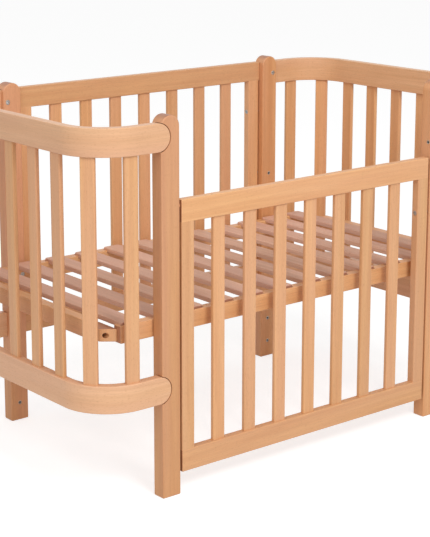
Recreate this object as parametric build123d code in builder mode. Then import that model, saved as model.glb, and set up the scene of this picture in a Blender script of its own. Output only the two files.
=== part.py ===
# A cot in solid beech with two rounded ends, drawn in millimetres, with +Z up.
# The origin is on the floor under the middle of the cot, +X runs along its length
# and the side that lowers faces -Y.
import os
from math import cos, degrees, sin

from build123d import *

os.makedirs("parts", exist_ok=True)

# Posts, one in each corner of the straight part
post_width = 50.0
post_depth = 35.0
post_inner_x = 396.0
post_inner_y = 300.0
post_top = 870.0
post_arris = 2.5
foot_chamfer = 2.0

# End rails, bent like a U, upper and lower at each end
rail_thickness = 23.0
rail_height = 63.0
rail_bend_radius = 120.0
rail_end_x = 627.5
rail_lower_z = 224.0
rail_upper_z = 791.5
rail_arris = 2.5
rail_seam = 0.5

# Bars in the ends and in the sides
bar_width = 34.0
bar_thickness = 11.0
bar_arris = 1.8
bar_pitch = 93.25
bar_tenon = 12.0
end_bars_each_way = 4
side_bars_each_way = 3

# Sides: the front one is lowered, the back one is at the raised level
side_height = 630.0
side_raised_z = 225.0
side_drop = 175.0
side_rail_height = 52.0
side_thickness = 20.0
side_outer_y = 334.0
side_stile_width = 35.0
side_arris = 2.0
side_running_gap = 5.5
side_bolt_below_top = 138.0
stile_set_back = 4.5
stile_tenon_width = 20.0
stile_tenon_thickness = 8.0
stile_tenon = 16.0
spacer_radius = 4.5
spacer_below_top = 14.0
spacer_clearance = 0.4

# Slatted base on its own frame
base_rail_outer_y = 298.0
base_rail_half_length = 532.0
base_rail_thickness = 26.0
base_rail_bottom = 371.0
base_rail_height = 40.0
base_end_outer_x = 567.0
base_end_half_length = 214.0
base_arris = 1.8
block_outer_x = 564.0
block_straight_y = 262.0
block_nose_x = 536.0
block_end_y = 284.0
block_bottom = 374.0
block_height = 29.0
slat_count = 12
slat_pitch = 91.2
slat_width = 48.0
slat_thickness = 12.0
slat_top = 417.0
slat_half_length = 292.0
slat_corner = 6.0
slat_arris = 2.0

# Fittings: M6 bolts with round heads, and the threaded inserts they go into. They are
# small and many, so their circles and those of their bores are drawn with few sides.
head_sides = 12
shank_sides = 8
bolt_radius = 3.0
head_radius = 6.0
head_height = 6.0
insert_radius = 5.0
insert_length = 13.0
end_bolt_from_edge = 12.5
end_bolt_head_height = 5.0
end_bolt_reach = 16.0
level_heights = [46.0, 113.0, 391.0, 539.0]
block_bolt_x = 553.0
block_bolt_z = 388.5
block_bolt_head_y = 244.0
block_bolt_reach = 30.0

# Worked out from the above
post_x = post_inner_x + post_width / 2
post_outer_x = post_inner_x + post_width
post_outer_y = post_inner_y + post_depth
nose_radius = rail_height / 2
line_y = post_outer_y - rail_thickness / 2
line_x = rail_end_x - rail_thickness / 2
line_radius = rail_bend_radius - rail_thickness / 2
rail_inner_y = post_outer_y - rail_thickness
end_straight = post_outer_y - rail_bend_radius
bend_centre_x = rail_end_x - rail_bend_radius
side_y = side_outer_y - side_thickness / 2
side_half_length = post_inner_x - side_running_gap
side_lowered_z = side_raised_z - side_drop
side_bolt_raised_z = side_raised_z + side_height - side_bolt_below_top
side_bolt_lowered_z = side_bolt_raised_z - side_drop
end_bolt_x = post_outer_x - end_bolt_from_edge
end_bolt_heights = [rail_lower_z + nose_radius, rail_upper_z + nose_radius]
base_rail_y = base_rail_outer_y - base_rail_thickness / 2
base_end_x = base_end_outer_x - base_rail_thickness / 2
base_rail_z = base_rail_bottom + base_rail_height / 2
overcut = 2.0


def mirrored(part, *planes):
    """Return the part turned over about each of the planes."""
    with BuildPart() as turned:
        add(part)
        for plane in planes:
            mirror(about=plane, mode=Mode.REPLACE)
    return turned.part


def save(part, name):
    """Label a finished piece and write it to its file."""
    part.label = name
    export_step(part, f"parts/{name}.step")


def end_bar_places():
    """Give x, y and turn of each bar of the right end, spaced evenly along the bent rail."""
    places = []
    for index in range(-end_bars_each_way, end_bars_each_way + 1):
        along = abs(index) * bar_pitch
        side = 1 if index >= 0 else -1
        if along <= end_straight:
            places.append((line_x, side * along, 90.0))
            continue
        angle = (along - end_straight) / line_radius
        x = bend_centre_x + line_radius * cos(angle)
        y = end_straight + line_radius * sin(angle)
        places.append((x, side * y, 90.0 + side * degrees(angle)))
    return places


def make_post():
    """One post, for the back right corner, with its housings and bores."""
    shoulder = post_top - post_width / 2
    with BuildPart() as post:
        # Front view of the post: straight sides under a half-round top
        with BuildSketch(Plane.XZ.offset(-post_outer_y)):
            with BuildLine():
                Line((post_inner_x, shoulder), (post_inner_x, 0))
                Line((post_inner_x, 0), (post_outer_x, 0))
                Line((post_outer_x, 0), (post_outer_x, shoulder))
                ThreePointArc((post_outer_x, shoulder), (post_x, post_top), (post_inner_x, shoulder))
            make_face()
        extrude(amount=post_depth)
        long_edges = post.edges().filter_by(lambda edge: edge.center().Z > foot_chamfer)
        across = long_edges.filter_by(Axis.Y)
        chamfer([edge for edge in long_edges if edge not in across], length=post_arris)
        chamfer(post.faces().sort_by(Axis.Z)[0].edges(), length=foot_chamfer)
        # Rounded housings for the ends of the bent rails, open to the post's outer edge
        for height in end_bolt_heights:
            with BuildSketch(Plane.XZ.offset(-post_outer_y - overcut)):
                with Locations((post_x + nose_radius, height)):
                    Circle(nose_radius + rail_seam)
                with Locations((post_outer_x + nose_radius, height)):
                    Rectangle(2 * nose_radius - 2 * overcut, 2 * (nose_radius + rail_seam))
            extrude(amount=rail_thickness + overcut, mode=Mode.SUBTRACT)
        # Bolt holes through the rest of the post, with recessed heads on its inner face
        with BuildSketch(Plane.XZ.offset(-post_outer_y)):
            with Locations(*[(end_bolt_x, height) for height in end_bolt_heights]):
                RegularPolygon(bolt_radius, shank_sides)
        extrude(amount=post_depth, mode=Mode.SUBTRACT)
        with BuildSketch(Plane.XZ.offset(-post_inner_y - end_bolt_head_height)):
            with Locations(*[(end_bolt_x, height) for height in end_bolt_heights]):
                RegularPolygon(head_radius, head_sides)
        extrude(amount=end_bolt_head_height, mode=Mode.SUBTRACT)
        # Bores for the threaded inserts of the base levels
        with BuildSketch(Plane.XZ.offset(-post_inner_y - insert_length)):
            with Locations(*[(post_x, height) for height in level_heights]):
                RegularPolygon(insert_radius, shank_sides)
        extrude(amount=insert_length, mode=Mode.SUBTRACT)
        # Bores for the inserts of the side's two levels
        with BuildSketch(Plane.YZ.offset(post_inner_x)):
            with Locations((side_y, side_bolt_raised_z), (side_y, side_bolt_lowered_z)):
                RegularPolygon(insert_radius, shank_sides)
        extrude(amount=insert_length, mode=Mode.SUBTRACT)
    return post.part


def make_end_rail(bottom, mortise_from):
    """One bent rail of the right end, its mortises starting at the given height."""
    with BuildPart() as rail:
        with BuildLine(Plane.XY.offset(bottom + nose_radius)):
            FilletPolyline(
                (post_x, line_y),
                (line_x, line_y),
                (line_x, -line_y),
                (post_x, -line_y),
                radius=line_radius,
            )
        start = Plane(origin=(post_x, line_y, bottom + nose_radius), x_dir=(0, 0, 1), z_dir=(1, 0, 0))
        with BuildSketch(start) as section:
            Rectangle(rail_height, rail_thickness)
            chamfer(section.vertices(), length=rail_arris)
        sweep()
        # Both ends are half round, seen from the front
        with BuildSketch(Plane.XZ):
            with Locations((post_x + rail_end_x / 2, bottom + nose_radius)):
                SlotOverall(rail_end_x, rail_height)
        extrude(amount=rail_end_x, both=True, mode=Mode.INTERSECT)
        with BuildSketch(Plane.XY.offset(mortise_from)):
            for x, y, turn in end_bar_places():
                with Locations(Location((x, y, 0), (0, 0, turn))):
                    Rectangle(bar_width, bar_thickness)
        extrude(amount=bar_tenon, mode=Mode.SUBTRACT)
        # Pilot holes that the end bolts screw into
        for side in (1, -1):
            with BuildSketch(Plane.XZ.offset(-side * rail_inner_y)):
                with Locations((end_bolt_x, bottom + nose_radius)):
                    RegularPolygon(bolt_radius, shank_sides)
            extrude(amount=-side * end_bolt_reach, mode=Mode.SUBTRACT)
    return rail.part


def make_bar(x, y, turn, bottom, top):
    """One upright bar with eased arrises, its ends let into the rails."""
    with BuildPart() as bar:
        with BuildSketch(Plane.XY.offset(bottom - bar_tenon)) as section:
            with Locations(Location((x, y, 0), (0, 0, turn))):
                Rectangle(bar_width, bar_thickness)
            chamfer(section.vertices(), length=bar_arris)
        extrude(amount=top - bottom + 2 * bar_tenon)
    return bar.part


def side_bar_xs():
    """The bars of a side, evenly spaced about its middle."""
    return [index * bar_pitch for index in range(-side_bars_each_way, side_bars_each_way + 1)]


def make_side_rail(y, half_length, stile_x, bottom, mortise_top):
    """A side's top or bottom rail, mortised for the bars and the stiles."""
    with BuildPart() as rail:
        with BuildSketch(Plane.YZ.offset(-half_length)) as section:
            with Locations((y, bottom + side_rail_height / 2)):
                Rectangle(side_thickness, side_rail_height)
            chamfer(section.vertices(), length=side_arris)
        extrude(amount=2 * half_length)
        bar_floor = bottom + side_rail_height - bar_tenon if mortise_top else bottom
        with BuildSketch(Plane.XY.offset(bar_floor)):
            with Locations(*[(x, y) for x in side_bar_xs()]):
                Rectangle(bar_width, bar_thickness)
        extrude(amount=bar_tenon, mode=Mode.SUBTRACT)
        stile_floor = bottom + side_rail_height - stile_tenon if mortise_top else bottom
        with BuildSketch(Plane.XY.offset(stile_floor)):
            with Locations((stile_x, y), (-stile_x, y)):
                Rectangle(stile_tenon_width, stile_tenon_thickness)
        extrude(amount=stile_tenon, mode=Mode.SUBTRACT)
    return rail.part


def make_stile(x, y, bottom, bolt_z):
    """A side's end upright, tenoned at both ends and bored for its bolt."""
    inward = -1 if x > 0 else 1
    low = bottom + side_rail_height
    length = side_height - 2 * side_rail_height
    inner_edge = x + inward * side_stile_width / 2
    with BuildPart() as stile:
        with BuildSketch(Plane.XY.offset(low)) as section:
            with Locations((x, y)):
                Rectangle(side_stile_width, side_thickness)
            chamfer(section.vertices(), length=side_arris)
        extrude(amount=length)
        with BuildSketch(Plane.XY.offset(low - stile_tenon)):
            with Locations((x, y)):
                Rectangle(stile_tenon_width, stile_tenon_thickness)
        extrude(amount=length + 2 * stile_tenon)
        with BuildSketch(Plane.YZ.offset(inner_edge)):
            with Locations((y, bolt_z)):
                RegularPolygon(bolt_radius, shank_sides)
        extrude(amount=-inward * side_stile_width, mode=Mode.SUBTRACT)
        with BuildSketch(Plane.YZ.offset(inner_edge)):
            with Locations((y, bolt_z)):
                RegularPolygon(head_radius, head_sides)
        extrude(amount=-inward * head_height, mode=Mode.SUBTRACT)
    return stile.part


def make_side(name, y, half_length, bottom):
    """Write all the pieces of one side."""
    stile_x = side_half_length - side_stile_width / 2
    if half_length > side_half_length:
        stile_x = half_length - stile_set_back - side_stile_width / 2
    low = bottom + side_rail_height
    high = bottom + side_height - side_rail_height
    bolt_z = bottom + side_height - side_bolt_below_top
    save(make_side_rail(y, half_length, stile_x, high, False), f"{name}_top_rail")
    save(make_side_rail(y, half_length, stile_x, bottom, True), f"{name}_bottom_rail")
    save(make_stile(-stile_x, y, bottom, bolt_z), f"{name}_stile_left")
    save(make_stile(stile_x, y, bottom, bolt_z), f"{name}_stile_right")
    for index, x in enumerate(side_bar_xs(), start=1):
        save(make_bar(x, y, 0, low, high), f"{name}_bar_{index}")
    return stile_x


def make_slats():
    """The slats, with eased long edges and cut corners."""
    first_x = -slat_pitch * (slat_count - 1) / 2
    middles = [(first_x + index * slat_pitch, 0) for index in range(slat_count)]
    with BuildPart() as slats:
        with BuildSketch(Plane.XY.offset(slat_top - slat_thickness)) as outlines:
            with Locations(*middles):
                Rectangle(slat_width, 2 * slat_half_length)
            chamfer(outlines.vertices(), length=slat_corner)
        extrude(amount=slat_thickness)
        top_edges = slats.edges().filter_by(Axis.Y).group_by(Axis.Z)[-1]
        chamfer(top_edges, length=slat_arris)
    return slats.part


def make_base_side_rail(slats):
    """The back rail of the base, housed for the slats and bored for its bolts to the posts."""
    with BuildPart() as rail:
        with BuildSketch(Plane.YZ.offset(-base_rail_half_length)) as section:
            with Locations((base_rail_y, base_rail_z)):
                Rectangle(base_rail_thickness, base_rail_height)
            chamfer(section.vertices(), length=base_arris)
        extrude(amount=2 * base_rail_half_length)
        add(slats, mode=Mode.SUBTRACT)
        inner_face = Plane.XZ.offset(-(base_rail_outer_y - base_rail_thickness))
        with BuildSketch(inner_face):
            with Locations((post_x, base_rail_z), (-post_x, base_rail_z)):
                RegularPolygon(bolt_radius, shank_sides)
        extrude(amount=-base_rail_thickness, mode=Mode.SUBTRACT)
        with BuildSketch(inner_face):
            with Locations((post_x, base_rail_z), (-post_x, base_rail_z)):
                RegularPolygon(head_radius, head_sides)
        extrude(amount=-head_height, mode=Mode.SUBTRACT)
    return rail.part


def make_base_end_rail():
    """The right rail of the base, bored in both ends for the corner bolts."""
    with BuildPart() as rail:
        with BuildSketch(Plane.XZ.offset(-base_end_half_length)) as section:
            with Locations((base_end_x, base_rail_z)):
                Rectangle(base_rail_thickness, base_rail_height)
            chamfer(section.vertices(), length=base_arris)
        extrude(amount=2 * base_end_half_length)
        for side in (1, -1):
            with BuildSketch(Plane.XZ.offset(-side * base_end_half_length)):
                with Locations((block_bolt_x, block_bolt_z)):
                    RegularPolygon(bolt_radius, shank_sides)
            extrude(amount=side * block_bolt_reach, mode=Mode.SUBTRACT)
    return rail.part


def make_corner_blocks():
    """Four blocks that join the base's rails, cut off slantwise inside the rounded ends."""
    with BuildPart() as blocks:
        for side_x in (1, -1):
            for side_y in (1, -1):
                outline = [
                    (base_rail_half_length, base_end_half_length),
                    (block_outer_x, base_end_half_length),
                    (block_outer_x, block_straight_y),
                    (block_nose_x, block_end_y),
                    (base_rail_half_length, block_end_y),
                ]
                with BuildSketch(Plane.XY.offset(block_bottom)):
                    with BuildLine():
                        Polyline(*[(side_x * x, side_y * y) for x, y in outline], close=True)
                    make_face()
                extrude(amount=block_height)
                # The bolt's hole comes out of the slanted face as an oval
                with BuildSketch(Plane.XZ.offset(-side_y * base_end_half_length)):
                    with Locations((side_x * block_bolt_x, block_bolt_z)):
                        RegularPolygon(bolt_radius, shank_sides)
                extrude(amount=-side_y * (block_end_y - base_end_half_length), mode=Mode.SUBTRACT)
                with BuildSketch(Plane.XZ.offset(-side_y * block_bolt_head_y)):
                    with Locations((side_x * block_bolt_x, block_bolt_z)):
                        RegularPolygon(head_radius, head_sides)
                extrude(amount=-side_y * (block_end_y - block_bolt_head_y), mode=Mode.SUBTRACT)
    return blocks.part


def make_bolt(head_end, length, height=head_height):
    """One bolt: the plane is on its head's outer face, facing out."""
    with BuildPart() as bolt:
        with BuildSketch(head_end):
            RegularPolygon(head_radius, head_sides)
        extrude(amount=-height)
        with BuildSketch(head_end):
            RegularPolygon(bolt_radius, shank_sides)
        extrude(amount=-length)
    return bolt.part


def make_insert(mouth):
    """One threaded insert: the plane is at its mouth, facing out."""
    with BuildPart() as insert:
        with BuildSketch(mouth):
            RegularPolygon(insert_radius, shank_sides)
            RegularPolygon(bolt_radius, shank_sides, mode=Mode.SUBTRACT)
        extrude(amount=-insert_length)
    return insert.part


def save_group(pieces, name):
    """Write separate pieces of one kind to one file."""
    with BuildPart() as group:
        add(pieces)
    save(group.part, name)


def facing_y(x, y, z, direction):
    """Give the plane at a point that faces +Y or -Y."""
    return Plane(origin=(x, y, z), x_dir=(1, 0, 0), z_dir=(0, direction, 0))


def facing_x(x, y, z, direction):
    """Give the plane at a point that faces +X or -X."""
    return Plane(origin=(x, y, z), x_dir=(0, 1, 0), z_dir=(direction, 0, 0))


# Posts
post_back_right = make_post()
save(post_back_right, "post_back_right")
save(mirrored(post_back_right, Plane.YZ), "post_back_left")
save(mirrored(post_back_right, Plane.XZ), "post_front_right")
save(mirrored(post_back_right, Plane.YZ, Plane.XZ), "post_front_left")

# Bent rails and bars of the two ends
lower_mortise = rail_lower_z + rail_height - bar_tenon
right_lower = make_end_rail(rail_lower_z, lower_mortise)
right_upper = make_end_rail(rail_upper_z, rail_upper_z)
save(right_lower, "right_end_bottom_rail")
save(right_upper, "right_end_top_rail")
save(mirrored(right_lower, Plane.YZ), "left_end_bottom_rail")
save(mirrored(right_upper, Plane.YZ), "left_end_top_rail")
for number, (bar_x, bar_y, bar_turn) in enumerate(end_bar_places(), start=1):
    end_bar = make_bar(bar_x, bar_y, bar_turn, rail_lower_z + rail_height, rail_upper_z)
    save(end_bar, f"right_end_bar_{number}")
    save(mirrored(end_bar, Plane.YZ), f"left_end_bar_{number}")

# Sides
front_stile_x = make_side("front_side", -side_y, side_half_length, side_lowered_z)
back_stile_x = make_side("back_side", side_y, post_inner_x, side_raised_z)

# Spacers on the lowered side's edges keep it off the posts
with BuildPart() as front_side_spacers:
    spacer_z = side_lowered_z + side_height - spacer_below_top
    for direction in (1, -1):
        with BuildSketch(Plane.YZ.offset(direction * side_half_length)):
            with Locations((-side_y, spacer_z)):
                RegularPolygon(spacer_radius, shank_sides)
        extrude(amount=direction * (side_running_gap - spacer_clearance))
save(front_side_spacers.part, "front_side_spacers")

# Slatted base
base_slats = make_slats()
save(base_slats, "base_slats")
base_back_rail = make_base_side_rail(base_slats)
save(base_back_rail, "base_back_rail")
save(mirrored(base_back_rail, Plane.XZ), "base_front_rail")
base_right_rail = make_base_end_rail()
save(base_right_rail, "base_right_rail")
save(mirrored(base_right_rail, Plane.YZ), "base_left_rail")
save(make_corner_blocks(), "base_corner_blocks")

corners = [(1, 1), (1, -1), (-1, 1), (-1, -1)]

# Bolts that hold the bent rails to the posts
end_bolt_length = rail_inner_y - post_inner_y + end_bolt_reach - overcut
end_rail_bolts = []
for sx, sy in corners:
    for height in end_bolt_heights:
        head_end = facing_y(sx * end_bolt_x, sy * post_inner_y, height, -sy)
        end_rail_bolts.append(make_bolt(head_end, end_bolt_length, end_bolt_head_height))
save_group(end_rail_bolts, "end_rail_bolts")

# Threaded inserts in the posts
threaded_inserts = []
for sx, sy in corners:
    for height in level_heights:
        threaded_inserts.append(make_insert(facing_y(sx * post_x, sy * post_inner_y, height, -sy)))
    for height in (side_bolt_raised_z, side_bolt_lowered_z):
        threaded_inserts.append(make_insert(facing_x(sx * post_inner_x, sy * side_y, height, -sx)))
save_group(threaded_inserts, "threaded_inserts")

# Bolts of the raised side, screwed home in the back posts
back_stile_edge = back_stile_x - side_stile_width / 2
back_bolt_length = post_inner_x + insert_length - back_stile_edge - overcut
back_side_bolts = []
for sx in (1, -1):
    head_end = facing_x(sx * back_stile_edge, side_y, side_bolt_raised_z, -sx)
    back_side_bolts.append(make_bolt(head_end, back_bolt_length))
save_group(back_side_bolts, "back_side_bolts")

# Bolts of the lowered side, ending in its running gap so that it is free to slide
front_stile_edge = front_stile_x - side_stile_width / 2
front_side_bolts = []
for sx in (1, -1):
    head_end = facing_x(sx * front_stile_edge, -side_y, side_bolt_lowered_z, -sx)
    front_side_bolts.append(make_bolt(head_end, side_stile_width + side_running_gap / 2))
save_group(front_side_bolts, "front_side_bolts")

# Bolts of the base: four towards the posts, and one through each corner block
base_rail_inner_y = base_rail_outer_y - base_rail_thickness
base_bolt_length = (base_rail_outer_y + post_inner_y) / 2 - base_rail_inner_y
block_head_end_y = block_bolt_head_y + head_height
block_bolt_length = block_head_end_y - base_end_half_length + block_bolt_reach - overcut
base_bolts = []
for sx, sy in corners:
    post_side = facing_y(sx * post_x, sy * base_rail_inner_y, base_rail_z, -sy)
    base_bolts.append(make_bolt(post_side, base_bolt_length))
    block_side = facing_y(sx * block_bolt_x, sy * block_head_end_y, block_bolt_z, sy)
    base_bolts.append(make_bolt(block_side, block_bolt_length))
save_group(base_bolts, "base_bolts")
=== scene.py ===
# The looks of a beech cot with two rounded ends: rounded arrises, housings, fittings and lacquer
import random
from math import atan2, cos, pi, radians

import bmesh
import bpy
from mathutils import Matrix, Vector


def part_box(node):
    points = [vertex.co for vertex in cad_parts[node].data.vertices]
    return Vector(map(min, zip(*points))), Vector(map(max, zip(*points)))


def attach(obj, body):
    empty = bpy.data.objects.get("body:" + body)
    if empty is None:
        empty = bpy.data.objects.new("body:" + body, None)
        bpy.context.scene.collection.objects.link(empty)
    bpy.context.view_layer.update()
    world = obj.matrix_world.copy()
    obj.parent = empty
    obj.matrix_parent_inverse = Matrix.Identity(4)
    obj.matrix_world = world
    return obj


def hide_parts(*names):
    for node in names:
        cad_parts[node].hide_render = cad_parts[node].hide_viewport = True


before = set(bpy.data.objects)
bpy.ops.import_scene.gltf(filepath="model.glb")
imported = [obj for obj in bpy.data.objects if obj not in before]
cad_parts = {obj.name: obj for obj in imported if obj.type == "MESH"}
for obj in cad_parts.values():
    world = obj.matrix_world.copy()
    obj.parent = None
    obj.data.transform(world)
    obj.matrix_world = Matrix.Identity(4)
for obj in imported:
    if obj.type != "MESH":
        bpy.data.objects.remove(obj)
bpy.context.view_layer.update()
mm = 0.001
overcut = 5 * mm              # how far a cutter reaches past an open face
touch = 0.01 * mm             # places closer than this count as one
toneDraw = random.Random(23)   # every board has a tone of its own
print("frame loaded")


# colour and node helpers

def toLinear(hexColour):
    # sRGB hex to the linear values that a shader takes
    channels = []
    for start in (1, 3, 5):
        value = int(hexColour[start:start + 2], 16) / 255
        channels.append(value / 12.92 if value <= 0.04045 else ((value + 0.055) / 1.055) ** 2.4)
    return (*channels, 1.0)


def addNode(tree, kind, settings=None, links=None):
    # one node, its settings by attribute or socket name, and what feeds its sockets
    node = tree.nodes.new(kind)
    for key, value in (settings or {}).items():
        if isinstance(key, str) and hasattr(node, key):
            setattr(node, key, value)
        else:
            node.inputs[key].default_value = value
    for key, source in (links or {}).items():
        tree.links.new(source, node.inputs[key])
    return node


def newMaterial(name):
    material = bpy.data.materials.new(name)
    material.use_nodes = True
    material.node_tree.nodes.clear()
    return material, material.node_tree


def setRamp(ramp, stops):
    # stops are (position, colour) pairs
    elements = ramp.color_ramp.elements
    while len(elements) < len(stops):
        elements.new(0.5)
    for element, (position, colour) in zip(elements, stops):
        element.position = position
        element.color = colour


# wood

# Steamed European beech, planed and sanded, under a clear satin water lacquer: an even warm tan
# with soft long streaks, short brown ray flecks and fine pores, and a dull sheen on the arrises
beechLook = {
    "light": "#E6B07B",
    "dark": "#D89C69",
    "rosy": "#E0A781",
    "fleck": "#B67C50",
    # the end grain colour and how much of it is used: real darker end grain and painted shade together
    "endGrain": "#93573E",
    "endShare": 0.75,
    "streakWidth": 14 * mm,
    "streakLength": 420 * mm,
    "fibreWidth": 1.6 * mm,       # real fibres are finer, drawn this coarse so that they show
    "fibreLength": 60 * mm,
    "fleckWidth": 1.1 * mm,       # real ray flecks are 0.3 mm wide, drawn this coarse to show
    "fleckLength": 7 * mm,
    "fleckShare": 0.3,
    "rosyShare": 0.55,            # at most this much of the rosy tone
    "fibreTone": (0.94, 1.04),    # darkest and lightest fibre
    "boardTone": (0.9, 1.04),     # darkest and lightest board
    "fibreDepth": 0.12 * mm,
    "fibreBump": 0.35,
    "roughness": (0.36, 0.5),
    "coat": 0.12,
    "coatRoughness": 0.3,
}

# The posts are cut from redder boards, and the steamed and bent rails are paler
postLook = dict(beechLook, light="#DDA470", dark="#CF9160", rosy="#D6997A")
bentLook = dict(beechLook, light="#EAB98C", dark="#DBA577", rosy="#E5B08F")

# Slats are the same beech, planed and left with one thin coat: paler, pinker and duller
slatLook = dict(beechLook, light="#E2B69C", dark="#D1A287", rosy="#DDAF9D", fleck="#B0816C",
                roughness=(0.5, 0.62), coat=0.0)


def makeWood(name, look, grain):
    # the grain runs along X, Y or Z, or for "bend" along the piece's own grainPlace attribute
    material, tree = newMaterial(name)
    if grain == "bend":
        place = addNode(tree, "ShaderNodeAttribute", {"attribute_name": "grainPlace"}).outputs["Vector"]
    else:
        place = addNode(tree, "ShaderNodeTexCoord").outputs["Object"]
        turns = {"X": (0, 0, 0), "Y": (0, 0, -pi / 2), "Z": (0, pi / 2, 0)}
        place = addNode(tree, "ShaderNodeMapping", {"Rotation": turns[grain]}, {"Vector": place}).outputs[0]
    tone = addNode(tree, "ShaderNodeAttribute", {"attribute_name": "boardTone"}).outputs["Fac"]
    # each board is cut from another place in the log
    offset = addNode(tree, "ShaderNodeCombineXYZ", None, {"X": tone, "Y": tone, "Z": tone}).outputs[0]
    offset = addNode(tree, "ShaderNodeVectorMath", {"operation": "MULTIPLY", 1: (7.1, 3.3, 5.7)},
                     {0: offset}).outputs[0]
    place = addNode(tree, "ShaderNodeVectorMath", {"operation": "ADD"}, {0: place, 1: offset}).outputs[0]

    def stretched(length, width, detail, distortion=0.0):
        # noise drawn out along the grain
        scaled = addNode(tree, "ShaderNodeVectorMath",
                         {"operation": "MULTIPLY", 1: (1 / length, 1 / width, 1 / width)}, {0: place})
        noise = addNode(tree, "ShaderNodeTexNoise",
                        {"Scale": 1.0, "Detail": detail, "Roughness": 0.55, "Distortion": distortion},
                        {"Vector": scaled.outputs[0]})
        return noise.outputs["Fac"]

    streaks = stretched(look["streakLength"], look["streakWidth"], 3.0, 0.35)
    figure = addNode(tree, "ShaderNodeValToRGB", None, {"Fac": streaks})
    setRamp(figure, [(0.3, toLinear(look["dark"])), (0.68, toLinear(look["light"]))])
    # rosy heartwood drifts through some boards
    drift = stretched(look["streakLength"] * 2, look["streakWidth"] * 6, 1.0)
    rosyMask = addNode(tree, "ShaderNodeMapRange",
                       {"From Min": 0.4, "From Max": 0.66, "To Min": 0.0, "To Max": look["rosyShare"]},
                       {"Value": drift})
    colour = addNode(tree, "ShaderNodeMix", {"data_type": "RGBA", 7: toLinear(look["rosy"])},
                     {0: rosyMask.outputs[0], 6: figure.outputs[0]}).outputs[2]
    # fine fibres
    fibres = stretched(look["fibreLength"], look["fibreWidth"], 2.0)
    darkest, lightest = look["fibreTone"]
    fibreShade = addNode(tree, "ShaderNodeMapRange",
                         {"From Min": 0.3, "From Max": 0.7, "To Min": darkest, "To Max": lightest},
                         {"Value": fibres})
    colour = addNode(tree, "ShaderNodeVectorMath", {"operation": "SCALE"},
                     {0: colour, "Scale": fibreShade.outputs[0]}).outputs[0]
    # ray flecks
    dashes = stretched(look["fleckLength"], look["fleckWidth"], 0.0)
    fleckMask = addNode(tree, "ShaderNodeMapRange",
                        {"From Min": 0.66, "From Max": 0.74, "To Min": 0.0, "To Max": look["fleckShare"]},
                        {"Value": dashes})
    colour = addNode(tree, "ShaderNodeMix", {"data_type": "RGBA", 7: toLinear(look["fleck"])},
                     {0: fleckMask.outputs[0], 6: colour}).outputs[2]
    # faces that look along the grain are painted darker: partly the real darker end grain, partly painted
    # shade, as on a post's rounded top
    if grain != "bend":
        facing = addNode(tree, "ShaderNodeTexCoord").outputs["Normal"]
        axes = {"X": (1, 0, 0), "Y": (0, 1, 0), "Z": (0, 0, 1)}
        along = addNode(tree, "ShaderNodeVectorMath", {"operation": "DOT_PRODUCT", 1: axes[grain]},
                        {0: facing}).outputs["Value"]
        along = addNode(tree, "ShaderNodeMath", {"operation": "ABSOLUTE"}, {0: along}).outputs[0]
        endShare = addNode(tree, "ShaderNodeMapRange",
                           {"From Min": 0.6, "From Max": 0.97, "To Min": 0.0, "To Max": look["endShare"]},
                           {"Value": along})
        colour = addNode(tree, "ShaderNodeMix", {"data_type": "RGBA", 7: toLinear(look["endGrain"])},
                         {0: endShare.outputs[0], 6: colour}).outputs[2]
    # board to board the tone differs a little
    darkest, lightest = look["boardTone"]
    boardShade = addNode(tree, "ShaderNodeMapRange",
                         {"From Min": 0.0, "From Max": 1.0, "To Min": darkest, "To Max": lightest},
                         {"Value": tone})
    colour = addNode(tree, "ShaderNodeVectorMath", {"operation": "SCALE"},
                     {0: colour, "Scale": boardShade.outputs[0]}).outputs[0]
    smooth, rough = look["roughness"]
    gloss = addNode(tree, "ShaderNodeMapRange",
                    {"From Min": 0.3, "From Max": 0.7, "To Min": smooth, "To Max": rough}, {"Value": fibres})
    bump = addNode(tree, "ShaderNodeBump",
                   {"Strength": look["fibreBump"], "Distance": look["fibreDepth"]}, {"Height": fibres})
    shader = addNode(tree, "ShaderNodeBsdfPrincipled",
                     {"IOR": 1.5, "Coat Weight": look["coat"], "Coat Roughness": look["coatRoughness"]},
                     {"Base Color": colour, "Roughness": gloss.outputs[0], "Normal": bump.outputs[0]})
    addNode(tree, "ShaderNodeOutputMaterial", None, {"Surface": shader.outputs[0]})
    return material


beechAlongX = makeWood("beech_satin_lacquer_along_x", beechLook, "X")
beechAlongY = makeWood("beech_satin_lacquer_along_y", beechLook, "Y")
beechAlongZ = makeWood("beech_satin_lacquer_upright", beechLook, "Z")
beechPost = makeWood("beech_posts_satin_lacquer", postLook, "Z")
beechBent = makeWood("beech_bent_satin_lacquer", bentLook, "bend")
slatBeech = makeWood("beech_planed_thin_lacquer", slatLook, "Y")


zincLook = {"pale": "#D6D6D2", "cloud": 3 * mm, "roughnessRange": 0.15}


def makeZinc(name, colour, roughness):
    # Zinc, plated on cold headed steel or cast as an alloy: grey with a faint cloudy sheen
    material, tree = newMaterial(name)
    place = addNode(tree, "ShaderNodeTexCoord").outputs["Object"]
    cloud = addNode(tree, "ShaderNodeTexNoise", {"Scale": 1 / zincLook["cloud"], "Detail": 2.0},
                    {"Vector": place})
    tint = addNode(tree, "ShaderNodeValToRGB", None, {"Fac": cloud.outputs["Fac"]})
    setRamp(tint, [(0.3, toLinear(colour)), (0.7, toLinear(zincLook["pale"]))])
    gloss = addNode(tree, "ShaderNodeMapRange",
                    {"From Min": 0.3, "From Max": 0.7, "To Min": roughness,
                     "To Max": roughness + zincLook["roughnessRange"]},
                    {"Value": cloud.outputs["Fac"]})
    shader = addNode(tree, "ShaderNodeBsdfPrincipled", {"Metallic": 1.0},
                     {"Base Color": tint.outputs[0], "Roughness": gloss.outputs[0]})
    addNode(tree, "ShaderNodeOutputMaterial", None, {"Surface": shader.outputs[0]})
    return material


zincSteel = makeZinc("zinc_plated_steel", "#B4B4B2", 0.3)
zincInsert = makeZinc("zinc_alloy_insert", "#C4C0B6", 0.38)
print("materials made")


# modelling helpers

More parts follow.
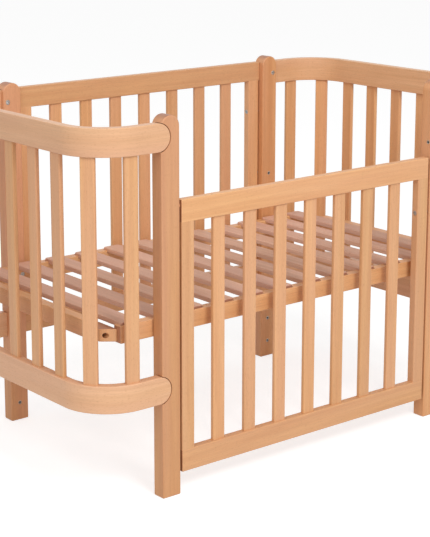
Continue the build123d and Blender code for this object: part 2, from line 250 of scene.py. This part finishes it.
def deselectAll():
    bpy.ops.object.select_all(action="DESELECT")


def makeActive(piece):
    deselectAll()
    piece.select_set(True)
    bpy.context.view_layer.objects.active = piece


def startEdit(piece):
    makeActive(piece)
    bpy.ops.object.mode_set(mode="EDIT")


def endEdit():
    bpy.ops.object.mode_set(mode="OBJECT")


def pick(piece, kind, test):
    # in edit mode, selects the vertices, edges or faces that pass the test
    bpy.ops.mesh.select_mode(type=kind)
    bpy.ops.mesh.select_all(action="DESELECT")
    mesh = bmesh.from_edit_mesh(piece.data)
    items = {"VERT": mesh.verts, "EDGE": mesh.edges, "FACE": mesh.faces}[kind]
    for item in items:
        if test(item):
            item.select_set(True)
    mesh.select_flush_mode()
    bmesh.update_edit_mesh(piece.data)


def middleOf(item):
    # the middle of an edge or a face
    return sum((v.co for v in item.verts), Vector()) / len(item.verts)


def runsAlong(edge, axis):
    # true for an edge that lies along one axis, 0 for X to 2 for Z
    line = edge.verts[1].co - edge.verts[0].co
    return line.length > 0 and abs(line[axis]) > 0.999 * line.length


def placeInMesh():
    # the object goes back to the origin, and its place is in the mesh
    bpy.ops.object.transform_apply(location=True, rotation=True, scale=True)


def addBlock(low, high):
    # a block between two corners
    deselectAll()
    bpy.ops.mesh.primitive_cube_add(size=1, location=(low + high) / 2, scale=high - low)
    placeInMesh()
    return bpy.context.object


def addRod(radius, depth, middle, axis, sides=48):
    # a cylinder about X, Y or Z
    deselectAll()
    turns = {"X": (0, pi / 2, 0), "Y": (pi / 2, 0, 0), "Z": (0, 0, 0)}
    bpy.ops.mesh.primitive_cylinder_add(vertices=sides, radius=radius, depth=depth, location=middle,
                                        rotation=turns[axis])
    placeInMesh()
    return bpy.context.object


def copyPiece(piece):
    # a copy with its own mesh
    twin = piece.copy()
    twin.data = piece.data.copy()
    bpy.context.scene.collection.objects.link(twin)
    return twin


def movePiece(piece, offset, turn=0.0):
    # turned about Z where it stands at the origin, then moved
    makeActive(piece)
    piece.rotation_euler = (0, 0, turn)
    piece.location = offset
    placeInMesh()


def mirrorPiece(piece, axis):
    # turned over about the plane through the origin, 0 for X and 1 for Y
    makeActive(piece)
    scale = [1, 1, 1]
    scale[axis] = -1
    piece.scale = scale
    placeInMesh()
    tidyMesh(piece)


def tidyMesh(piece):
    # no doubles, and every face outward
    startEdit(piece)
    bpy.ops.mesh.select_all(action="SELECT")
    bpy.ops.mesh.remove_doubles(threshold=0.002 * mm)
    bpy.ops.mesh.normals_make_consistent(inside=False)
    endEdit()


def roundArrises(piece, radius, segments=3, limit=50):
    # rounds every edge sharper than the limit
    makeActive(piece)
    bpy.ops.object.modifier_add(type="BEVEL")
    bevel = piece.modifiers[-1]
    bevel.width = radius
    bevel.segments = segments
    bevel.limit_method = "ANGLE"
    bevel.angle_limit = radians(limit)
    bpy.ops.object.modifier_apply(modifier=bevel.name)


def cutWith(piece, cutter):
    # takes the cutter's space out of the piece, and the cutter with it
    makeActive(piece)
    bpy.ops.object.modifier_add(type="BOOLEAN")
    boolean = piece.modifiers[-1]
    boolean.operation = "DIFFERENCE"
    boolean.solver = "EXACT"
    boolean.object = cutter
    bpy.ops.object.modifier_apply(modifier=boolean.name)
    bpy.data.objects.remove(cutter)


def joinPieces(pieces):
    # several meshes in one object
    deselectAll()
    for piece in pieces:
        piece.select_set(True)
    bpy.context.view_layer.objects.active = pieces[0]
    bpy.ops.object.join()
    return pieces[0]


def smoothPiece(piece, angle=35):
    # smooth over arrises and bends, with the broad faces kept flat
    makeActive(piece)
    bpy.ops.object.shade_smooth_by_angle(angle=radians(angle))
    bpy.ops.object.modifier_add(type="WEIGHTED_NORMAL")
    weighted = piece.modifiers[-1]
    weighted.keep_sharp = True
    bpy.ops.object.modifier_apply(modifier=weighted.name)


def setTone(piece, tone=None):
    value = toneDraw.random() if tone is None else tone
    attribute = piece.data.attributes.new("boardTone", "FLOAT", "POINT")
    attribute.data.foreach_set("value", [value] * len(piece.data.vertices))


def finishPiece(piece, name, body, slot, material, *replaced):
    # material, body and the CAD nodes that it stands for
    piece.name = name
    piece.data.name = name
    piece.data.materials.clear()
    piece.data.materials.append(material)
    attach(piece, body)
    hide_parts(*(replaced or (name.removesuffix("_beech"),)))


# places that several pieces share, from the frame

postLow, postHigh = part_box("post_back_right")
railLow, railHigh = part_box("right_end_bottom_rail")
railTopLow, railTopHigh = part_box("right_end_top_rail")
postX = (postLow.x + postHigh.x) / 2
railHeight = railHigh.z - railLow.z
noseRadius = railHeight / 2
noseX = postX + noseRadius
endRailMiddles = [(railLow.z + railHigh.z) / 2, (railTopLow.z + railTopHigh.z) / 2]
endRail = {
    "thickness": 23 * mm,
    "bendRadius": 120 * mm,
    "arris": 3 * mm,
    "noseFlat": 0.05 * mm,        # half of the flat left in the middle of the nose
    "bendSteps": 26,
    "noseSteps": 18,
}
fitting = {
    "boltX": 433.5 * mm,
    "headRadius": 6 * mm,
    "insertRadius": 5 * mm,
    "insertLength": 13 * mm,
    "levels": [46 * mm, 113 * mm, 391 * mm, 539 * mm],    # the rows of inserts for the base
    "sideLevels": [542 * mm, 717 * mm],                   # the side lowered and raised
    "sideY": 324 * mm,
    "gap": 0.15 * mm,
}

# posts

post = {
    "arris": 3 * mm,
    "seam": 1.2 * mm,             # drawn wider than the real joint so that it shows
    "archSides": 96,
    "headRecess": 5 * mm,
}


def makePost():
    # the back right post: its front outline, drawn down to the floor and given its depth
    radius = (postHigh.x - postLow.x) / 2
    shoulder = postHigh.z - radius
    deselectAll()
    bpy.ops.mesh.primitive_circle_add(vertices=post["archSides"], radius=radius, fill_type="NOTHING",
                                      location=(postX, postLow.y, shoulder), rotation=(pi / 2, 0, 0))
    placeInMesh()
    piece = bpy.context.object
    startEdit(piece)
    pick(piece, "VERT", lambda v: v.co.z < shoulder - touch)
    bpy.ops.mesh.delete(type="VERT")
    pick(piece, "VERT", lambda v: v.co.z < shoulder + touch)
    bpy.ops.mesh.extrude_vertices_move(TRANSFORM_OT_translate={"value": (0, 0, -shoulder)})
    bpy.ops.mesh.edge_face_add()
    bpy.ops.mesh.select_all(action="SELECT")
    bpy.ops.mesh.edge_face_add()
    bpy.ops.mesh.select_all(action="SELECT")
    bpy.ops.mesh.extrude_region_move(TRANSFORM_OT_translate={"value": (0, postHigh.y - postLow.y, 0)})
    endEdit()
    tidyMesh(piece)
    roundArrises(piece, post["arris"], 4)
    # rounded housings for the bent rails, open at the post's outer edge
    floorY = postHigh.y - endRail["thickness"]
    depth = endRail["thickness"] + overcut
    half = noseRadius + post["seam"]
    for middle in endRailMiddles:
        centre = Vector((noseX, floorY + depth / 2, middle))
        cutWith(piece, addRod(half, depth, centre, "Y", post["archSides"]))
        cutWith(piece, addBlock(Vector((noseX, floorY, middle - half)),
                                Vector((postHigh.x + overcut, postHigh.y + overcut, middle + half))))
    # recesses for the bolt heads, and bores for the inserts
    for middle in endRailMiddles:
        cutWith(piece, addRod(fitting["headRadius"] + fitting["gap"], 2 * post["headRecess"],
                              Vector((fitting["boltX"], postLow.y, middle)), "Y"))
    bore = fitting["insertRadius"] + fitting["gap"]
    for level in fitting["levels"]:
        cutWith(piece, addRod(bore, 2 * fitting["insertLength"], Vector((postX, postLow.y, level)), "Y"))
    for level in fitting["sideLevels"]:
        cutWith(piece, addRod(bore, 2 * fitting["insertLength"],
                              Vector((postLow.x, fitting["sideY"], level)), "X"))
    tidyMesh(piece)
    return piece


postPiece = makePost()
for depthName, flipY in (("back", False), ("front", True)):
    for sideName, flipX in (("right", False), ("left", True)):
        twin = copyPiece(postPiece)
        if flipX:
            mirrorPiece(twin, 0)
        if flipY:
            mirrorPiece(twin, 1)
        smoothPiece(twin)
        setTone(twin)
        finishPiece(twin, f"post_{depthName}_{sideName}_beech", "root", "beech", beechPost)
bpy.data.objects.remove(postPiece)
print("posts made")

# bent end rails

bendCentreX = railHigh.x - endRail["bendRadius"]
bendCentreY = railHigh.y - endRail["bendRadius"]
lineRadius = endRail["bendRadius"] - endRail["thickness"] / 2


def pathPlace(x, y):
    # distance along the bent rail from its middle, and depth in from its outer face
    side = 1 if y >= 0 else -1
    y = abs(y)
    if y <= bendCentreY:
        return side * y, railHigh.x - x
    if x <= bendCentreX:
        return side * (bendCentreY + lineRadius * pi / 2 + bendCentreX - x), railHigh.y - y
    angle = atan2(y - bendCentreY, x - bendCentreX)
    depth = endRail["bendRadius"] - Vector((x - bendCentreX, y - bendCentreY)).length
    return side * (bendCentreY + lineRadius * angle), depth


def makeEndRail(middle):
    # the section, drawn along the back arm, round both bends and back along the front arm
    thickness = endRail["thickness"]
    lineY = railHigh.y - thickness / 2
    deselectAll()
    bpy.ops.mesh.primitive_plane_add(size=1, location=(postX, lineY, middle), rotation=(0, pi / 2, 0))
    piece = bpy.context.object
    piece.scale = (railHeight, thickness, 1)
    placeInMesh()
    startEdit(piece)
    bpy.ops.mesh.select_all(action="SELECT")
    straight = bendCentreX - postX
    bpy.ops.mesh.extrude_region_move(TRANSFORM_OT_translate={"value": (straight, 0, 0)})
    bpy.ops.mesh.spin(steps=endRail["bendSteps"], angle=pi / 2, center=(bendCentreX, bendCentreY, middle),
                      axis=(0, 0, 1))
    bpy.ops.mesh.extrude_region_move(TRANSFORM_OT_translate={"value": (0, -2 * bendCentreY, 0)})
    bpy.ops.mesh.spin(steps=endRail["bendSteps"], angle=pi / 2, center=(bendCentreX, -bendCentreY, middle),
                      axis=(0, 0, 1))
    bpy.ops.mesh.extrude_region_move(TRANSFORM_OT_translate={"value": (-straight, 0, 0)})
    endEdit()
    tidyMesh(piece)
    # half-round noses
    startEdit(piece)
    pick(piece, "EDGE", lambda e: runsAlong(e, 1) and middleOf(e).x < postX + touch)
    bpy.ops.mesh.bevel(offset=noseRadius - endRail["noseFlat"], segments=endRail["noseSteps"],
                       affect="EDGES", clamp_overlap=False)
    endEdit()
    tidyMesh(piece)
    roundArrises(piece, endRail["arris"], 4)
    # the grain runs round the bend
    grain = piece.data.attributes.new("grainPlace", "FLOAT_VECTOR", "POINT")
    for vertex, place in zip(piece.data.vertices, grain.data):
        along, depth = pathPlace(vertex.co.x, vertex.co.y)
        place.vector = (along, depth, vertex.co.z)
    return piece


for levelName, middle in zip(("bottom", "top"), endRailMiddles):
    rightRail = makeEndRail(middle)
    leftRail = copyPiece(rightRail)
    mirrorPiece(leftRail, 0)
    for sideName, railPiece in (("right", rightRail), ("left", leftRail)):
        smoothPiece(railPiece)
        setTone(railPiece)
        finishPiece(railPiece, f"{sideName}_end_{levelName}_rail_beech", "root", "beech", beechBent)
print("bent rails made")

# bars

bar = {
    "width": 34 * mm,
    "thickness": 11 * mm,
    "arris": 3 * mm,
    "tenon": 12 * mm,             # as long as in the solids
    "letIn": 4 * mm,              # how much of it is drawn inside the rail
}


def makeBar(length):
    # a bar standing at the origin, its middle at half its length
    half = Vector((bar["width"] / 2, bar["thickness"] / 2, length / 2))
    piece = addBlock(-half, half)
    roundArrises(piece, bar["arris"], 4)
    smoothPiece(piece)
    return piece


def placeBars(master, names, body):
    # a copy at each node's place, turned to follow the bend where it stands in one
    for node in names:
        low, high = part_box(node)
        middle = (low + high) / 2
        turn = 0.0
        if "_end_" in node:
            turn = pi / 2
            if abs(middle.y) > bendCentreY:
                turn = atan2(abs(middle.y) - bendCentreY, abs(middle.x) - bendCentreX) + pi / 2
                if middle.x * middle.y < 0:
                    turn = -turn
        twin = copyPiece(master)
        movePiece(twin, middle, turn)
        setTone(twin)
        finishPiece(twin, f"{node}_beech", body, "beech", beechAlongZ)


def barLength(node):
    # the node's own length, less what its tenons hide deeper in the rails
    low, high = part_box(node)
    return high.z - low.z - 2 * (bar["tenon"] - bar["letIn"])


endBar = makeBar(barLength("right_end_bar_1"))
for sideName in ("left", "right"):
    placeBars(endBar, [f"{sideName}_end_bar_{number}" for number in range(1, 10)], "root")
bpy.data.objects.remove(endBar)
sideBar = makeBar(barLength("front_side_bar_1"))
placeBars(sideBar, [f"front_side_bar_{number}" for number in range(1, 8)], "front_side")
placeBars(sideBar, [f"back_side_bar_{number}" for number in range(1, 8)], "root")
bpy.data.objects.remove(sideBar)
print("bars made")

# side frames

side = {"arris": 2.5 * mm, "stileArris": 2 * mm, "headDepth": 6 * mm}


def makePlank(node, body, material, arris, cutters=(), slot="beech", low=None, high=None):
    # a plank that fills its node's box or the one given, with rounded arrises
    boxLow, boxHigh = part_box(node)
    piece = addBlock(low or boxLow, high or boxHigh)
    roundArrises(piece, arris, 4)
    for cutter in cutters:
        cutWith(piece, cutter)
    if cutters:
        tidyMesh(piece)
    smoothPiece(piece)
    setTone(piece)
    finishPiece(piece, f"{node}_beech", body, slot, material)
    return piece


for frameName, body in (("front_side", "front_side"), ("back_side", "root")):
    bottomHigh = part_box(f"{frameName}_bottom_rail")[1]
    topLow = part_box(f"{frameName}_top_rail")[0]
    boltLevel = fitting["sideLevels"][0] if frameName == "front_side" else fitting["sideLevels"][1]
    for railName in ("top_rail", "bottom_rail"):
        makePlank(f"{frameName}_{railName}", body, beechAlongX, side["arris"])
    for sideName in ("left", "right"):
        node = f"{frameName}_stile_{sideName}"
        low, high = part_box(node)
        low.z, high.z = bottomHigh.z - side["stileArris"], topLow.z + side["stileArris"]
        innerX = low.x if sideName == "right" else high.x
        recess = addRod(fitting["headRadius"] + fitting["gap"], 2 * side["headDepth"],
                        Vector((innerX, (low.y + high.y) / 2, boltLevel)), "X")
        makePlank(node, body, beechAlongZ, side["stileArris"], [recess], low=low, high=high)
print("side frames made")

# spacers on the front side's edges

spacerLow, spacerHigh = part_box("front_side_spacers")
frontTopLow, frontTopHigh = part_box("front_side_top_rail")
spacer = {"radius": (spacerHigh.z - spacerLow.z) / 2, "arris": 0.8 * mm, "sides": 32, "tone": 0.9}
spacerMiddle = (spacerLow + spacerHigh) / 2
spacers = []
for outer, inner in ((spacerHigh.x, frontTopHigh.x), (spacerLow.x, frontTopLow.x)):
    disc = addRod(spacer["radius"], abs(outer - inner),
                  Vector(((outer + inner) / 2, spacerMiddle.y, spacerMiddle.z)), "X", spacer["sides"])
    roundArrises(disc, spacer["arris"], 2)
    spacers.append(disc)
spacerPiece = joinPieces(spacers)
smoothPiece(spacerPiece)
setTone(spacerPiece, spacer["tone"])
finishPiece(spacerPiece, "front_side_spacers_beech", "front_side", "spacer", beechAlongX)

# slatted base

slat = {"count": 12, "width": 48 * mm, "corner": 7 * mm, "cornerSteps": 6, "arris": 2.5 * mm}
slatLow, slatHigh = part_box("base_slats")
slatPitch = (slatHigh.x - slatLow.x - slat["width"]) / (slat["count"] - 1)


def slatBlock(index, spare=0.0):
    # one slat's space, with something to spare for its housing in the rails
    left = slatLow.x + index * slatPitch
    margin = Vector((spare, spare, spare))
    return addBlock(Vector((left, slatLow.y, slatLow.z)) - margin,
                    Vector((left + slat["width"], slatHigh.y, slatHigh.z)) + margin)


slatPieces = []
for index in range(slat["count"]):
    board = slatBlock(index)
    startEdit(board)
    pick(board, "EDGE", lambda e: runsAlong(e, 2))
    bpy.ops.mesh.bevel(offset=slat["corner"], segments=slat["cornerSteps"], affect="EDGES")
    endEdit()
    roundArrises(board, slat["arris"], 3)
    setTone(board)
    slatPieces.append(board)
slats = joinPieces(slatPieces)
smoothPiece(slats)
finishPiece(slats, "base_slats_beech", "slatted_base", "slat_beech", slatBeech, "base_slats")

base = {"arris": 2.5 * mm, "seam": 0.3 * mm, "boltZ": 391 * mm, "headDepth": 6 * mm}
for railName, facing in (("back", 1), ("front", -1)):
    low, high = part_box(f"base_{railName}_rail")
    innerY = low.y if facing > 0 else high.y
    cutters = [slatBlock(index, base["seam"]) for index in range(slat["count"])]
    for x in (-postX, postX):
        cutters.append(addRod(fitting["headRadius"] + fitting["gap"], 2 * base["headDepth"],
                              Vector((x, innerY, base["boltZ"])), "Y"))
    makePlank(f"base_{railName}_rail", "slatted_base", beechAlongX, base["arris"], cutters)
for sideName in ("left", "right"):
    makePlank(f"base_{sideName}_rail", "slatted_base", beechAlongY, base["arris"])

# corner blocks, cut off slantwise, with the bolt's hole coming out as an oval

block = {
    "straightY": 262 * mm,        # where the slant leaves the block's outer face
    "noseX": 536 * mm,            # where it comes to the block's end
    "arris": 2 * mm,
    "arrisLimit": 30,             # degrees, so that the slant's edges are rounded as well
    "lap": 1 * mm,                # into the rails that it is glued to
    "boltX": 553 * mm,
    "boltZ": 388.5 * mm,
    "headY": 244 * mm,
    "holeLength": 60 * mm,
    "holeSides": 64,
}
blockLow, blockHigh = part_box("base_corner_blocks")
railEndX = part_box("base_back_rail")[1].x
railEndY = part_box("base_right_rail")[1].y
blockPiece = addBlock(Vector((railEndX - block["lap"], railEndY - block["lap"], blockLow.z)), blockHigh)
slant = Vector((block["noseX"], blockHigh.y, 0)) - Vector((blockHigh.x, block["straightY"], 0))
slantNormal = Vector((-slant.y, slant.x, 0)).normalized()
if slantNormal.x < 0:
    slantNormal = -slantNormal
startEdit(blockPiece)
bpy.ops.mesh.select_all(action="SELECT")
bpy.ops.mesh.bisect(plane_co=(blockHigh.x, block["straightY"], 0), plane_no=slantNormal, use_fill=True,
                    clear_outer=True)
endEdit()
roundArrises(blockPiece, block["arris"], 3, block["arrisLimit"])
holeMiddle = Vector((block["boltX"], block["headY"] + block["holeLength"] / 2, block["boltZ"]))
cutWith(blockPiece, addRod(fitting["headRadius"], block["holeLength"], holeMiddle, "Y", block["holeSides"]))
tidyMesh(blockPiece)
blockPieces = []
for flipX in (False, True):
    for flipY in (False, True):
        twin = copyPiece(blockPiece)
        if flipX:
            mirrorPiece(twin, 0)
        if flipY:
            mirrorPiece(twin, 1)
        setTone(twin)
        blockPieces.append(twin)
bpy.data.objects.remove(blockPiece)
blocks = joinPieces(blockPieces)
smoothPiece(blocks)
finishPiece(blocks, "base_corner_blocks_beech", "slatted_base", "beech", beechAlongZ, "base_corner_blocks")
print("slatted base made")

# fittings

bolt = {
    "shankRadius": 3 * mm,
    "headGap": 0.1 * mm,
    "headHeight": 5 * mm,
    "socket": 4 * mm,             # across its flats
    "socketDepth": 3 * mm,
    "arris": 0.7 * mm,
    "recess": 0.4 * mm,           # below the wood's face
    "endLength": 26 * mm,         # through a post into a bent rail
    "blockLength": 64 * mm,       # through a corner block into the base's rail
    "sides": 40,
}
insertLook = {
    "floor": 1 * mm,
    "arris": 0.35 * mm,
    "slotHalfWidth": 0.7 * mm,
    "slotDepth": 1.2 * mm,
    "slotReach": 1.2,             # times the insert's radius
}


def makeBolt(length):
    # a socket head bolt standing on its shank at the origin, its head's top at z = 0
    radius = fitting["headRadius"] - bolt["headGap"]
    piece = addRod(radius, bolt["headHeight"], Vector((0, 0, -bolt["headHeight"] / 2)), "Z", bolt["sides"])
    startEdit(piece)
    pick(piece, "FACE", lambda f: f.normal.z < -0.9)
    bpy.ops.mesh.inset(thickness=radius - bolt["shankRadius"], use_even_offset=True)
    bpy.ops.mesh.extrude_region_move(TRANSFORM_OT_translate={"value": (0, 0, bolt["headHeight"] - length)})
    endEdit()
    roundArrises(piece, bolt["arris"], 3)
    socketRadius = bolt["socket"] / 2 / cos(pi / 6)
    cutWith(piece, addRod(socketRadius, 2 * bolt["socketDepth"], Vector(), "Z", 6))
    tidyMesh(piece)
    smoothPiece(piece)
    return piece


def makeInsert():
    # a threaded insert standing in the wood, its mouth at z = 0, with a screwdriver slot
    length = fitting["insertLength"]
    radius = fitting["insertRadius"]
    piece = addRod(radius, length, Vector((0, 0, -length / 2)), "Z", bolt["sides"])
    startEdit(piece)
    pick(piece, "FACE", lambda f: f.normal.z > 0.9)
    bpy.ops.mesh.inset(thickness=radius - bolt["shankRadius"], use_even_offset=True)
    bpy.ops.mesh.extrude_region_move(TRANSFORM_OT_translate={"value": (0, 0, insertLook["floor"] - length)})
    endEdit()
    roundArrises(piece, insertLook["arris"], 2)
    half = Vector((radius * insertLook["slotReach"], insertLook["slotHalfWidth"], insertLook["slotDepth"]))
    cutWith(piece, addBlock(-half, half))
    tidyMesh(piece)
    smoothPiece(piece)
    return piece


def placeFitting(master, place, direction):
    # a copy whose top faces the given way
    twin = copyPiece(master)
    makeActive(twin)
    twin.rotation_mode = "QUATERNION"
    twin.rotation_quaternion = Vector(direction).to_track_quat("Z", "Y")
    twin.location = place
    placeInMesh()
    twin.rotation_mode = "XYZ"
    return twin


def finishFittings(pieces, name, body, material, node):
    # all the fittings of one kind on one body are one piece
    group = joinPieces(pieces)
    finishPiece(group, name, body, "steel", material, node)


corners = [(1, 1), (1, -1), (-1, 1), (-1, -1)]
sunk = bolt["recess"]
endBolt = makeBolt(bolt["endLength"])
endBolts = []
for sx, sy in corners:
    for z in endRailMiddles:
        place = Vector((sx * fitting["boltX"], sy * (postLow.y + sunk), z))
        endBolts.append(placeFitting(endBolt, place, (0, -sy, 0)))
finishFittings(endBolts, "end_rail_bolts_steel", "root", zincSteel, "end_rail_bolts")

insert = makeInsert()
insertPieces = []
for sx, sy in corners:
    for level in fitting["levels"]:
        place = Vector((sx * postX, sy * (postLow.y + sunk), level))
        insertPieces.append(placeFitting(insert, place, (0, -sy, 0)))
    for level in fitting["sideLevels"]:
        place = Vector((sx * (postLow.x + sunk), sy * fitting["sideY"], level))
        insertPieces.append(placeFitting(insert, place, (-sx, 0, 0)))
finishFittings(insertPieces, "threaded_inserts_zinc", "root", zincInsert, "threaded_inserts")

for frameName, body, sy, level in (("front_side", "front_side", -1, fitting["sideLevels"][0]),
                                   ("back_side", "root", 1, fitting["sideLevels"][1])):
    boltLow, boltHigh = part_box(f"{frameName}_bolts")
    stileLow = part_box(f"{frameName}_stile_right")[0]
    sideBolt = makeBolt(boltHigh.x - stileLow.x - sunk)
    sideBolts = []
    for sx in (1, -1):
        place = Vector((sx * (stileLow.x + sunk), sy * fitting["sideY"], level))
        sideBolts.append(placeFitting(sideBolt, place, (-sx, 0, 0)))
    finishFittings(sideBolts, f"{frameName}_bolts_steel", body, zincSteel, f"{frameName}_bolts")
    bpy.data.objects.remove(sideBolt)

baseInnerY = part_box("base_back_rail")[0].y
postBolt = makeBolt(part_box("base_bolts")[1].y - baseInnerY - sunk)
blockBolt = makeBolt(bolt["blockLength"])
baseBolts = []
for sx, sy in corners:
    place = Vector((sx * postX, sy * (baseInnerY + sunk), base["boltZ"]))
    baseBolts.append(placeFitting(postBolt, place, (0, -sy, 0)))
for sx, sy in corners:
    place = Vector((sx * block["boltX"], sy * (block["headY"] + bolt["headHeight"]), block["boltZ"]))
    baseBolts.append(placeFitting(blockBolt, place, (0, sy, 0)))
finishFittings(baseBolts, "base_bolts_steel", "slatted_base", zincSteel, "base_bolts")
for master in (endBolt, insert, postBolt, blockBolt):
    bpy.data.objects.remove(master)
print("fittings made")

# floor, light and camera

# the floor lights the crib as white paint would, and shows itself white with a faint shadow
floorLook = {"size": 60.0, "colour": "#F4F4F4", "shownColour": "#C2C2C2", "shownLift": 0.67}
deselectAll()
bpy.ops.mesh.primitive_plane_add(size=floorLook["size"])
floor = bpy.context.object
floor.name = "studio_floor"
floorMaterial, floorTree = newMaterial("studio_floor_white")
floorPaint = addNode(floorTree, "ShaderNodeBsdfDiffuse", {"Color": toLinear(floorLook["colour"])})
floorShown = addNode(floorTree, "ShaderNodeBsdfDiffuse", {"Color": toLinear(floorLook["shownColour"])})
floorLift = addNode(floorTree, "ShaderNodeEmission",
                    {"Color": (1, 1, 1, 1), "Strength": floorLook["shownLift"]})
floorRay = addNode(floorTree, "ShaderNodeLightPath")
floorSum = addNode(floorTree, "ShaderNodeAddShader", None,
                   {0: floorShown.outputs[0], 1: floorLift.outputs[0]})
floorMix = addNode(floorTree, "ShaderNodeMixShader", None,
                   {0: floorRay.outputs["Is Camera Ray"], 1: floorPaint.outputs[0], 2: floorSum.outputs[0]})
addNode(floorTree, "ShaderNodeOutputMaterial", None, {"Surface": floorMix.outputs[0]})
floor.data.materials.append(floorMaterial)

studio = {
    "ambient": 0.54,
    "key": {"place": (-0.7, -3.5, 3.5), "target": (0, 0, 0.6), "size": 1.6, "watts": 96.0},
    "fill": {"place": (-3.0, -1.4, 3.0), "target": (0, 0, 0.7), "size": 2.2, "watts": 32.0},
    "lampColour": "#FFFFFF",
}
world = bpy.data.worlds.new("studio")
bpy.context.scene.world = world
world.use_nodes = True
worldTree = world.node_tree
worldTree.nodes.clear()
ambient = addNode(worldTree, "ShaderNodeBackground", {"Color": (1, 1, 1, 1), "Strength": studio["ambient"]})
white = addNode(worldTree, "ShaderNodeBackground", {"Color": (1, 1, 1, 1), "Strength": 1.0})
worldRay = addNode(worldTree, "ShaderNodeLightPath")
direct = addNode(worldTree, "ShaderNodeMath", {"operation": "MAXIMUM"},
                 {0: worldRay.outputs["Is Camera Ray"], 1: worldRay.outputs["Is Glossy Ray"]})
worldMix = addNode(worldTree, "ShaderNodeMixShader", None,
                   {0: direct.outputs[0], 1: ambient.outputs[0], 2: white.outputs[0]})
addNode(worldTree, "ShaderNodeOutputWorld", None, {"Surface": worldMix.outputs[0]})


def addLamp(name, settings):
    # a square lamp that looks at its target
    data = bpy.data.lights.new(name, "AREA")
    data.shape = "SQUARE"
    data.size = settings["size"]
    data.energy = settings["watts"]
    data.color = toLinear(studio["lampColour"])[:3]
    lamp = bpy.data.objects.new(name, data)
    lamp.location = settings["place"]
    aim = Vector(settings["target"]) - Vector(settings["place"])
    lamp.rotation_euler = aim.to_track_quat("-Z", "Y").to_euler()
    bpy.context.scene.collection.objects.link(lamp)


addLamp("key_lamp", studio["key"])
addLamp("fill_lamp", studio["fill"])

# the camera, fitted to the photograph's own lines
photoCamera = {
    "place": (-2.427, -2.928, 1.399),
    "yaw": -38.41,
    "pitch": -11.86,
    "roll": 0.135,
    "focalPixels": 1551.1,
    "longSidePixels": 537.0,
    "shift": (0.05, -0.15),
    "sensor": 36.0,
}
cameraData = bpy.data.cameras.new("studio_camera")
cameraData.sensor_width = photoCamera["sensor"]
cameraData.lens = photoCamera["focalPixels"] / photoCamera["longSidePixels"] * cameraData.sensor_width
cameraData.shift_x, cameraData.shift_y = photoCamera["shift"]
camera = bpy.data.objects.new("studio_camera", cameraData)
camera.rotation_mode = "XYZ"
camera.location = photoCamera["place"]
camera.rotation_euler = (radians(90 + photoCamera["pitch"]), radians(photoCamera["roll"]),
                         radians(photoCamera["yaw"]))
bpy.context.scene.collection.objects.link(camera)
bpy.context.scene.camera = camera
bpy.context.scene.view_settings.view_transform = "Standard"
print("stage set")
